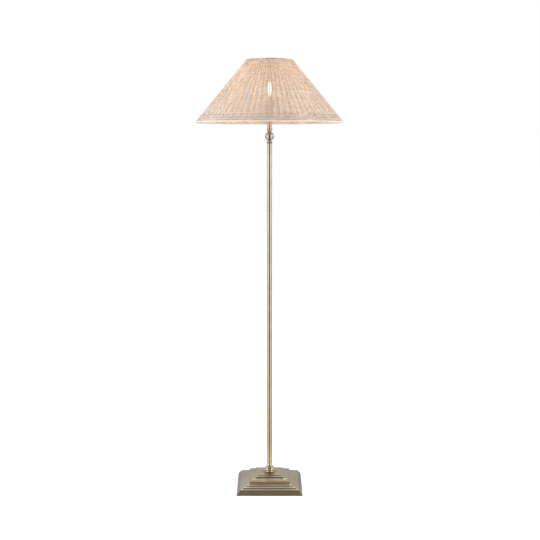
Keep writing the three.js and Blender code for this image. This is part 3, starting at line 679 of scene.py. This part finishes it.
class Shape(Graph):
    """A tree that grows a piece, with named sizes."""

    def __init__(self, name, sizes, counts):
        super().__init__(bpy.data.node_groups.new(name, "GeometryNodeTree"))
        kinds = {**dict.fromkeys(sizes, "Float"), **dict.fromkeys(counts, "Int"), "Material": "Material"}
        for key, kind in kinds.items():
            self.tree.interface.new_socket(key, in_out="INPUT", socket_type=f"NodeSocket{kind}")
        self.tree.interface.new_socket("Shape", in_out="OUTPUT", socket_type="NodeSocketGeometry")
        self.inputs = self.tree.nodes.new("NodeGroupInput")

    def size(self, name):
        return Value(self, self.inputs.outputs[name])

    def index(self):
        return self.node("GeometryNodeInputIndex")

    def point(self, x, y, z):
        return self.node("ShaderNodeCombineXYZ", {"X": x, "Y": y, "Z": z})

    def upward(self, height):
        return self.point(0, 0, height)

    def spot(self, radius, height):
        """A place straight out along the X axis, from two named sizes."""
        return self.point(self.size(radius), 0, self.size(height))

    def vector(self, operation, values):
        return self.node("ShaderNodeVectorMath", values, operation=operation)

    def ring(self, steps, radius):
        values = {"Resolution": steps, "Radius": radius}
        return self.node("GeometryNodeCurvePrimitiveCircle", values)

    def line(self, start, end):
        return self.node("GeometryNodeCurvePrimitiveLine", {"Start": start, "End": end})

    def moved(self, path, step, how="Offset"):
        return self.node("GeometryNodeSetPosition", {"Geometry": path, how: step})

    def shifted(self, path, outwards, upwards):
        """A path with its points moved out from the axis and up."""
        here = self.node("GeometryNodeInputPosition")
        level = self.vector("NORMALIZE", [self.vector("MULTIPLY", [here, (1, 1, 0)])])
        out = self.vector("SCALE", {0: level, "Scale": outwards})
        return self.moved(path, self.vector("ADD", [out, self.upward(upwards)]))

    def uneven(self, path, scale, amount):
        """A path with its points shifted a little, as cane lies."""
        here = self.node("GeometryNodeInputPosition")
        values = {"Vector": here, "Scale": scale, "Detail": 1.0}
        drift = self.node("ShaderNodeTexNoise", values, 1)
        middle = self.vector("SUBTRACT", [drift, (0.5, 0.5, 0.5)])
        return self.moved(path, self.vector("SCALE", {0: middle, "Scale": amount}))

    def toned(self, path, tone, domain="POINT"):
        values = {"Geometry": path, "Name": "tone", "Value": tone}
        kind = "GeometryNodeStoreNamedAttribute"
        return self.node(kind, values, data_type="FLOAT", domain=domain)

    def copies(self, part, count, turn=0):
        """Copies of a part, each turned about the upright axis by its own angle."""
        spots = self.node("GeometryNodePoints", {"Count": count})
        values = {"Points": spots, "Instance": part, "Rotation": self.upward(turn)}
        return self.node("GeometryNodeInstanceOnPoints", values)

    def real(self, part):
        return self.node("GeometryNodeRealizeInstances", {"Geometry": part})

    def rounded(self, path, radius, sides):
        values = {"Curve": path, "Profile Curve": self.ring(sides, radius), "Fill Caps": True}
        return self.node("GeometryNodeCurveToMesh", values)

    def finish(self, part):
        values = {"Geometry": self.real(part), "Material": self.size("Material")}
        painted = self.node("GeometryNodeSetMaterial", values)
        self.node("NodeGroupOutput", {"Shape": painted})

    def grow(self, name, sizes, node, *more_nodes):
        """Runs the tree with these sizes and keeps the result as a plain mesh."""
        holder = bpy.data.objects.new(name, bpy.data.meshes.new(name))
        scene.collection.objects.link(holder)
        modifier = holder.modifiers.new("grow", "NODES")
        modifier.node_group = self.tree
        sizes = {**sizes, "Material": by_slot[slot_of[node]]}
        for item in self.tree.interface.items_tree:
            if item.in_out == "INPUT":
                modifier[item.identifier] = sizes[item.name]
        finished(name, run_modifiers(holder), node, *more_nodes, sharp=radians(60))


def row_tree():
    """Rows of cane round a cone, each swinging out and in between the stakes."""
    shape = Shape("woven_rows", (
        "Low radius", "High radius", "Low height", "High height", "Waves", "Row shift",
        "Swing out", "Swing up", "Cane radius", "Seed",
    ), ("Rows", "Steps", "Sides"))
    size = shape.size
    ring = shape.ring(size("Steps"), 1.0)
    rows = shape.real(shape.copies(ring, size("Rows")))
    turns = shape.index() / size("Steps")
    row = turns.whole()
    angle = (turns - row) * (2 * pi)
    share = row / (size("Rows") - 1)
    wave = (angle * size("Waves") + row * size("Row shift")).cosine()
    reach = size("High radius") - size("Low radius")
    rise = size("High height") - size("Low height")
    radius = size("Low radius") + share * reach + wave * size("Swing out")
    height = size("Low height") + share * rise + wave * size("Swing up")
    spot = shape.point(radius * angle.cosine(), radius * angle.sine(), height)
    rows = shape.moved(rows, spot, "Position")
    rows = shape.uneven(rows, 38.0, cane_drift)

    def patchy(around, between_rows, detail):
        """A tone that drifts along each row, and from one row to the next, on both sides of 0."""
        where = shape.point(
            angle.cosine() * around, angle.sine() * around, row * between_rows + size("Seed"),
        )
        values = {"Vector": where, "Scale": 1.0, "Detail": detail}
        return shape.node("ShaderNodeTexNoise", values) - 0.5

    # A painted highlight: cane is paler where it bows out over a stake
    bow = wave.size() ** 3 - mean_bow
    own = patchy(7, 7.3, 2.0) * 2.2 + patchy(1, 3.1, 1.0) * 2.0
    rows = shape.toned(rows, own + cane_tone + bow * bow_highlight)
    shape.finish(shape.rounded(rows, size("Cane radius"), size("Sides")))
    return shape


def stake_tree():
    """Straight stakes set round a cone."""
    shape = Shape("stakes", (
        "Low radius", "Low height", "High radius", "High height", "Stake radius",
    ), ("Stakes", "Steps", "Sides"))
    size = shape.size
    line = shape.line(shape.spot("Low radius", "Low height"), shape.spot("High radius", "High height"))
    line = shape.node("GeometryNodeResampleCurve", {"Curve": line, "Count": size("Steps")})
    ring = shape.copies(line, size("Stakes"), shape.index() * (2 * pi) / size("Stakes"))
    own = shape.node("FunctionNodeRandomValue", {2: 0.1, 3: 0.9, "Seed": 7}, 1)
    ring = shape.real(shape.toned(ring, own, "INSTANCE"))
    ring = shape.uneven(ring, 30.0, stake_drift)
    shape.finish(shape.rounded(ring, size("Stake radius"), size("Sides")))
    return shape


def braid_tree():
    """Strands laid round one another along a ring."""
    shape = Shape("braid", (
        "Ring radius", "Height", "Lay radius", "Strand radius", "Tone",
    ), ("Twists", "Strands", "Steps", "Sides"))
    size = shape.size
    ring = shape.ring(size("Steps"), size("Ring radius"))
    turn = shape.index() * (2 * pi) / size("Steps") * size("Twists")
    lay = size("Lay radius")
    strand = shape.shifted(ring, turn.cosine() * lay, turn.sine() * lay + size("Height"))
    step = shape.index() * (2 * pi) / (size("Strands") * size("Twists"))
    rope = shape.real(shape.copies(strand, size("Strands"), step))
    rope = shape.uneven(rope, 45.0, strand_drift)
    here = shape.node("GeometryNodeInputPosition")
    tone = shape.node("ShaderNodeTexNoise", {"Vector": here, "Scale": 26.0, "Detail": 3.0})
    rope = shape.toned(rope, (tone - 0.5) * 1.8 + size("Tone"))
    shape.finish(shape.rounded(rope, size("Strand radius"), size("Sides")))
    return shape


def frame_tree():
    """Two rings of wire with ribs between them, and arms bowed down to the fitting."""
    shape = Shape("wire_frame", (
        "Rim radius", "Rim height", "Crown radius", "Crown height", "Foot radius", "Foot height",
        "Knee radius", "Ring wire", "Rib wire", "Arm wire",
    ), ("Ribs", "Arms"))
    size = shape.size
    wire_sides = 12

    def hoop(radius, height):
        path = shape.moved(shape.ring(120, size(radius)), shape.upward(size(height)))
        return shape.rounded(path, size("Ring wire"), wire_sides)

    def spread(path, count, wire):
        rod = shape.rounded(path, size(wire), wire_sides)
        turn = shape.index() * (2 * pi) / size(count) + pi / 2
        return shape.copies(rod, size(count), turn)

    crown = shape.spot("Crown radius", "Crown height")
    rib = shape.line(shape.spot("Rim radius", "Rim height"), crown)
    arm = shape.node("GeometryNodeCurveQuadraticBezier", {
        "Resolution": 24,
        "Start": shape.spot("Foot radius", "Foot height"),
        "Middle": shape.spot("Knee radius", "Foot height"),
        "End": crown,
    })
    parts = [
        hoop("Rim radius", "Rim height"), hoop("Crown radius", "Crown height"),
        spread(rib, "Ribs", "Rib wire"), spread(arm, "Arms", "Arm wire"),
    ]
    whole = shape.tree.nodes.new("GeometryNodeJoinGeometry")
    for part in parts:
        shape.tree.links.new(part.socket, whole.inputs[0])
    shape.finish(Value(shape, whole.outputs[0]))
    return shape


# Shade

def border_line(node):
    """Half the height of a border, and its middle as a radius and a height."""
    low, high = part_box(node)
    roll = (high.z - low.z) / 2
    return roll, Vector((high.x - border_inset * roll, (low.z + high.z) / 2))


rim_roll, rim_centre = border_line("rim_border")
crown_roll, crown_centre = border_line("crown_border")
flank = (crown_centre - rim_centre).length
up_flank = (crown_centre - rim_centre).normalized()
out_flank = Vector((up_flank.y, -up_flank.x))


def on_flank(way):
    """The weave's middle at this way up the flank, as a radius and a height."""
    return rim_centre + up_flank * way + out_flank * wall_out


def rows_between(tree, name, ways, rows, radius, swing, waves, shift, seed):
    """Rows of cane on the flank, between two ways up it."""
    low, high = (on_flank(way) for way in ways)
    tree.grow(name, {
        "Low radius": low.x, "High radius": high.x, "Low height": low.y, "High height": high.y,
        "Waves": waves, "Row shift": shift, "Swing out": swing * out_flank.x,
        "Swing up": swing * out_flank.y, "Cane radius": radius, "Seed": seed,
        "Rows": rows, "Steps": cane_steps, "Sides": 5,
    }, "woven_wall")


def make_weave():
    tree = row_tree()
    band_low = rim_roll + wale_radius
    band_high = band_low + wale_height / wale_rows * (wale_rows - 1)
    rows_between(
        tree, "band_rows", (band_low, band_high), wale_rows, wale_radius, wale_swing,
        waves=stakes / wale_canes, shift=2 * pi / wale_canes, seed=31.0,
    )
    weave_low = band_high + wale_radius + cane_radius
    weave_high = flank - crown_roll - cane_radius
    last_row = round((weave_high - weave_low) / row_pitch)
    first = 0
    for name, share, seed in weave_lots:
        last = round(last_row * share / 2) * 2 - 1 if share < 1 else last_row
        ways = [part_way(weave_low, weave_high, row / last_row) for row in (first, last)]
        rows_between(
            tree, name, ways, last - first + 1, cane_radius, cane_swing,
            waves=stakes / 2, shift=pi, seed=seed,
        )
        first = last + 1


def make_stakes():
    low, high = on_flank(0), on_flank(flank)
    stake_tree().grow("shade_stakes", {
        "Low radius": low.x, "Low height": low.y, "High radius": high.x, "High height": high.y,
        "Stake radius": stake_radius, "Stakes": stakes, "Steps": 28, "Sides": 6,
    }, "woven_wall")


def make_borders():
    braid = braid_tree()
    for name, node, centre, roll, twists, tone in (
        ("rim_braid", "rim_border", rim_centre, rim_roll, rim_twists, 1.05),
        ("crown_braid", "crown_border", crown_centre, crown_roll, crown_twists, 0.05),
    ):
        braid.grow(name, {
            "Ring radius": centre.x, "Height": centre.y, "Lay radius": roll * border_lay,
            "Strand radius": roll * border_strand, "Twists": twists, "Strands": border_strands,
            "Steps": twists * 12, "Sides": 8, "Tone": tone,
        }, node)


def make_frame():
    rim_wire, crown_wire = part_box("rim_wire"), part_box("crown_wire")
    fitter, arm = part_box("fitter_ring"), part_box("fitter_arm_1")
    ring_wire = (rim_wire[1].z - rim_wire[0].z) / 2
    arm_wire = (arm[1].x - arm[0].x) / 2
    ribs = [f"rib_wire_{i + 1}" for i in range(rib_count)]
    arms = [f"fitter_arm_{i + 1}" for i in range(arm_count)]
    frame_tree().grow("shade_frame", {
        "Rim radius": rim_wire[1].x - ring_wire, "Rim height": rim_wire[0].z + ring_wire,
        "Crown radius": crown_wire[1].x - ring_wire, "Crown height": crown_wire[0].z + ring_wire,
        "Foot radius": fitter[1].x - arm_wire, "Foot height": (fitter[0].z + fitter[1].z) / 2,
        "Knee radius": fitter[1].x + arm_bow, "Ring wire": ring_wire, "Rib wire": rib_radius,
        "Arm wire": arm_wire, "Ribs": rib_count, "Arms": arm_count,
    }, "rim_wire", "crown_wire", *ribs, *arms)


# Base

def quarter(half, height, reach, rise, steps):
    """A quarter of an ellipse, from its side to its top."""
    angles = [pi / 2 * i / steps for i in range(steps + 1)]
    return [(half + reach * cos(a), height + rise * sin(a)) for a in angles]


def swelling(half, height, reach, rise, steps=24, end=radians(20), turn_over=7):
    """A rounded step: upright at its foot, soon turned over, and still sloping where it ends."""
    slopes = [part_way(end, pi / 2, (1 - (i + 0.5) / steps) ** turn_over) for i in range(steps)]
    across, up = sum(cos(slope) for slope in slopes), sum(sin(slope) for slope in slopes)
    points = [(half, height)]
    for slope in slopes:
        width, level = points[-1]
        points.append((width - reach * cos(slope) / across, level + rise * sin(slope) / up))
    return points


def braced(outline, margin):
    """The same outline with a point set in from each end of its longer lines, to keep the faces flat."""
    points = []
    for start, end in zip(outline, outline[1:]):
        points.append(start)
        length = hypot(end[0] - start[0], end[1] - start[1])
        if length > 2.5 * margin:
            for share in (margin / length, 1 - margin / length):
                points.append((part_way(start[0], end[0], share), part_way(start[1], end[1], share)))
    return [*points, outline[-1]]


def make_base():
    """The base's shell, from its foot up the steps to the pad, and back inside."""
    half, low, top = base_high.x, base_low.z, base_high.z
    sheet, hole = 2.4 * MM, 9 * MM
    lean, ease = 12.5 * MM, 0.7 * MM
    lower_half = half - lean - 9.2 * MM
    upper_half = lower_half - 11.4 * MM
    cushion_half = upper_half - 10 * MM
    cushion_spread = 21.7 * MM
    platform_half = cushion_half - cushion_spread - 0.4 * MM
    pad_half = platform_half - 8.5 * MM
    foot = quarter(half - ease, low + ease, ease, -ease, steps=3)
    foot.reverse()
    outside = [
        *foot,
        (half - lean, plinth_top),
        (lower_half, lower_foot),
        (lower_half, lower_top),
        (upper_half, upper_foot),
        (upper_half, upper_top),
        (cushion_half, cushion_foot),
        *swelling(cushion_half, cushion_swell, cushion_spread, cushion_top - cushion_swell),
        (platform_half, cushion_top),
        (platform_half, platform_top),
        (pad_half, pad_foot),
        (pad_half, top),
        (hole, top),
    ]
    inside = [
        (hole, top - sheet),
        (lower_half - sheet, lower_top - sheet),
        (half - lean - sheet, plinth_top - sheet),
        (half - ease - sheet, low),
    ]
    signs = ((1, 1), (-1, 1), (-1, -1), (1, -1))
    outline = braced(outside, 1.2 * MM) + inside
    rings = [[(x * w, y * w, z) for x, y in signs] for w, z in outline]
    rough = bpy.data.objects.new("base_moulding", mesh_from(rings, closed_way=True))
    scene.collection.objects.link(rough)
    bevel = rough.modifiers.new("edges", "BEVEL")
    bevel.width = 0.5 * MM
    bevel.segments = 3
    bevel.angle_limit = radians(35)
    bevel.use_clamp_overlap = True
    finished("base_moulding", run_modifiers(rough), "base_shell", sharp=radians(50))


def make_bush():
    """The bush in the back of the plinth: a sleeve with a rounded flange, turned about the Y axis."""
    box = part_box("cable_bush")
    middle = (box[0].z + box[1].z) / 2
    outer, bore = (box[1].z - box[0].z) / 2, 3.8 * MM
    face, inner_face = box[1].y, box[0].y
    neck = bore + 1.5 * MM
    flange = 4 * MM
    ease, lip = 0.9 * MM, 0.8 * MM
    outline = [
        (bore, inner_face), (neck, inner_face), (neck, face - flange - 0.5 * MM),
        (outer, face - flange), (outer, face - ease), (outer - ease / 3, face - ease / 3),
        (outer - ease, face), (bore + lip, face), (bore + lip / 4, face - ease / 3),
        (bore, face - ease),
    ]
    mesh = turned(outline, 48)
    for v in mesh.vertices:
        x, y, z = v.co
        v.co = (x, z, middle - y)
    finished("cord_bush", mesh, "cable_bush")


# Stem, light fitting and bulb

def make_turned_pieces():
    for name in ("lower", "middle", "upper"):
        smoothed(f"{name}_tube", f"stem_tube_{name}")
    smoothed("foot_collar", "foot_turning", 96)
    smoothed("lower_ball_collar", "ball_seat_lower")
    smoothed("upper_ball_collar", "ball_seat_upper")
    smoothed("lower_ball_washer", "ball_washer_lower")
    smoothed("upper_ball_washer", "ball_washer_upper")
    smoothed("ball_rod", "ball_core_rod", 48)
    smoothed("neck_tube", "neck_turning")
    smoothed("holder_cap", "lampholder_cap")
    smoothed("holder_body", "lampholder_body")
    smoothed("socket_shell", "lampholder_socket", 48)
    smoothed("fitter_ring", "shade_fitter")
    smoothed("bulb_cap", "bulb_screw_cap")
    smoothed("bulb_glass", "bulb_envelope", 64)


def make_ball():
    """The glass ball: a thick wall round a hollow, open at both ends for the rod."""
    low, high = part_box("glass_ball")
    middle, radius = (low.z + high.z) / 2, high.x
    wall, hollow_end, steps = 4 * MM, 0.36, 40

    def arc(reach, end):
        """From near the lower pole to near the upper, less the end angle at both."""
        angles = [part_way(-pi / 2 + end, pi / 2 - end, i / steps) for i in range(steps + 1)]
        return [(reach * cos(angle), middle + reach * sin(angle)) for angle in angles]

    outside = arc(radius, acos(min(1, (high.z - middle) / radius)))
    inside = arc(radius - wall, hollow_end)
    inside.reverse()
    finished("clear_ball", turned([*outside, *inside], 96), "glass_ball")


def make_shade_ring():
    """The ring that clamps the shade, with rounded finger grips round it."""
    outline, closed = section("shade_ring")
    radii = [radius for radius, height in outline]
    inner, outer = min(radii), max(radii)
    grips, depth = 10, 0.7 * MM
    mesh = turned(eased(outline, closed), 160, closed)
    for v in mesh.vertices:
        radius = hypot(v.co.x, v.co.y)
        if radius > (inner + outer) / 2:
            wave = (1 - cos(grips * atan2(v.co.y, v.co.x))) / 2
            v.co.x *= 1 - depth * wave / radius
            v.co.y *= 1 - depth * wave / radius
    finished("gripped_ring", mesh, "shade_ring")


def make_filaments():
    """Glowing sticks, bowed out round a glass stem and drawn together at both ends."""
    low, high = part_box("bulb_filament")
    sticks, thickness, sides, steps = 6, 1.5 * MM, 8, 14
    foot, head = low.z + 12 * MM, high.z - 0.2 * MM
    drawn, bow, taper = 1.2 * MM, 0.8, 0.25
    turns = [2 * pi * k / sides for k in range(sides)]
    form = bmesh.new()
    for s in range(sticks):
        angle = 2 * pi * s / sticks
        rows = []
        for i in range(steps + 1):
            reach = drawn + (high.x - thickness - drawn) * sin(pi * i / steps) ** bow
            centre = Vector((reach * cos(angle), reach * sin(angle), part_way(foot, head, i / steps)))
            width = thickness * (taper if i in (0, steps) else 1)
            around = [centre + Vector((cos(turn), sin(turn), 0)) * width for turn in turns]
            rows.append([form.verts.new(point) for point in around])
        for near, far in zip(rows, rows[1:]):
            for k in range(sides):
                form.faces.new((near[k], near[(k + 1) % sides], far[(k + 1) % sides], far[k]))
        form.faces.new(list(reversed(rows[0])))
        form.faces.new(rows[-1])
    finished("filament_sticks", mesh_of(form), "bulb_filament")
    stem = [
        (0, low.z), (5 * MM, low.z), (4.4 * MM, low.z + 3 * MM), (1.6 * MM, low.z + 9 * MM),
        (1.1 * MM, low.z + 12 * MM), (0.8 * MM, high.z - 4 * MM), (0, high.z - 2 * MM),
    ]
    glass = turned(eased(stem, False), 24, False)
    glass.materials.append(by_slot["bulb_glass"])
    finished("filament_stem", glass, "bulb_filament")


# Stage

def ray_kinds(graph):
    """Whether a ray comes from the camera, off polished metal or out of glass."""
    rays = graph.tree.nodes.new("ShaderNodeLightPath")
    names = ("Is Camera Ray", "Is Glossy Ray", "Is Transmission Ray")
    return [Value(graph, rays.outputs[name]) for name in names]


def side_view(side, back, darker):
    """How far a direction points at the sides of the room, and how much light is left there."""
    beside = side.size().between(*panel_near) * (1 - back.between(*panel_far))
    return beside, 1 - back.between(*panel_fade) * (darker + right_end * side.between(*left_to_right))


def make_world():
    """A white backdrop for the camera, and a room of panels, walls and shade for metal and glass."""
    world = bpy.data.worlds.new("studio")
    world.use_nodes = True
    scene.world = world
    graph = Graph(world.node_tree)
    side, back, high = graph.parts(graph.node("ShaderNodeTexCoord"))
    camera, glossy, through = ray_kinds(graph)
    beside, end = side_view(side, back, panel_end)
    panel = ceiling_level + (1 - high.size().between(*panel_top)) * (panel_level * end - ceiling_level)
    glow = high.between(*glow_low) * (1 - high.between(*glow_high))
    front = front_shade - high.between(*dark_top) * (front_shade - front_high)
    front = front + glow * (front_glow - front_shade)
    wall = wall_low + high.between(*wall_rise) * (wall_high - wall_low)
    middle = front + back.between(*front_to_back) * (wall - front)
    middle = middle + high.between(*ceiling_edge) * (ceiling_level - middle)
    off_metal = middle + beside * (panel - middle)
    sideways = side.size().between(*clear_side) * (1 - back.between(*clear_end))
    seen = back.between(*clear_back).larger(sideways)
    off_glass = glass_rim + seen * (glass_clear - glass_rim)
    mirrored = glossy * (1 - through)
    level = ambient + camera * (backdrop - ambient) + mirrored * (off_metal - ambient)
    level = level + through * (off_glass - ambient)
    cool = mirrored * (1 - high.between(*cool_top)) * back.between(*cool_back)
    warm = mirrored * (1 - beside) * (1 - back.between(*warm_back)) * (1 - high.between(*warm_top))
    tint = graph.tinted(graph.blend(cool, white, cool_tint), graph.blend(warm, white, warm_tint))
    light = graph.node("ShaderNodeBackground", {"Color": tint, "Strength": level})
    graph.node("ShaderNodeOutputWorld", {"Surface": light})


def make_floor():
    """A white floor that takes the lamp's shadow, and that metal sees as the floor of the room."""
    material = bpy.data.materials.new("floor")
    material.use_nodes = True
    graph = Graph(material.node_tree)
    side, back = graph.parts(graph.place())[:2]
    away = (side * side + back * back) ** 0.5
    behind = back / away
    camera, glossy, through = ray_kinds(graph)
    beside, end = side_view(side / away, behind, floor_end)
    far = floor_ahead + behind.between(*front_to_back) * (wall_low - floor_ahead)
    close = floor_front + behind.between(*near_back) * (floor_near - floor_front)
    middle = far + (1 - away.between(*near_reach)) * (close - far)
    seen = middle + beside * (floor_beside * end - middle)
    bent = glossy.larger(through)
    plain = (1 - camera) * (1 - bent)
    level = camera * floor_white + bent * seen + plain
    mirrored = glossy * (1 - through)
    cool = graph.blend(mirrored * behind.between(*floor_cool), white, cool_tint)
    warm = graph.blend(mirrored * (1 - behind.between(*floor_warm)), white, warm_tint)
    matt = graph.node("ShaderNodeBsdfDiffuse", {"Color": (floor_grey, floor_grey, floor_grey, 1)})
    glow = graph.node("ShaderNodeEmission", {"Color": graph.tinted(cool, warm), "Strength": level})
    share = camera * floor_own + bent + plain * bounce
    mixed = graph.node("ShaderNodeMixShader", {0: share, 1: matt, 2: glow})
    graph.node("ShaderNodeOutputMaterial", {"Surface": mixed})
    mesh = bpy.data.meshes.new("floor")
    corners = [(x * floor_reach, y * floor_reach, 0) for x, y in ((-1, -1), (1, -1), (1, 1), (-1, 1))]
    mesh.from_pydata(corners, [], [(0, 1, 2, 3)])
    mesh.materials.append(material)
    floor = bpy.data.objects.new("floor", mesh)
    scene.collection.objects.link(floor)


def add_lamp(name, kind, power, place, colour):
    light = bpy.data.lights.new(name, kind)
    light.energy = power
    light.color = colour
    lamp = bpy.data.objects.new(name, light)
    lamp.location = place
    scene.collection.objects.link(lamp)
    return lamp


def add_panel(name, power, place, aim=panel_aim, colour=white):
    """A soft square light that neither metal nor glass shows."""
    lamp = add_lamp(name, "AREA", power, place, colour)
    lamp.data.shape = "SQUARE"
    lamp.data.size = panel_size
    lamp.rotation_euler = (Vector(aim) - Vector(place)).to_track_quat("-Z", "Y").to_euler()
    lamp.visible_glossy = False
    lamp.visible_transmission = False


def make_lights():
    add_panel("left_panel", left_power, (-3.7, -0.4, 2.2), colour=side_light)
    add_panel("right_panel", right_power, (3.7, -0.4, 2.1), colour=side_light)
    add_panel("front_panel", front_power, (0, -4.2, 2.6))
    add_panel("top_panel", top_power, (0, 0.8, 3.9), (0, 0, 0))
    low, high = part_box("bulb_filament")
    bulb = add_lamp("bulb_light", "POINT", bulb_power, (0, 0, part_way(low.z, high.z, 0.25)), bulb_light)
    bulb.data.shadow_soft_size = 6 * MM


def make_camera():
    lens = bpy.data.cameras.new("camera")
    lens.lens = camera_lens
    lens.sensor_width = sensor_width
    lens.clip_end = view_depth
    camera = bpy.data.objects.new("camera", lens)
    camera.location = (camera_side, -camera_distance, camera_height)
    camera.rotation_euler = (pi / 2 - camera_pitch, 0, 0)
    scene.collection.objects.link(camera)
    scene.camera = camera


make_camera()
make_world()
make_floor()
make_lights()
make_base()
make_bush()
make_turned_pieces()
make_ball()
make_weave()
make_stakes()
make_borders()
make_frame()
make_shade_ring()
make_filaments()

scene.view_settings.view_transform = "Standard"
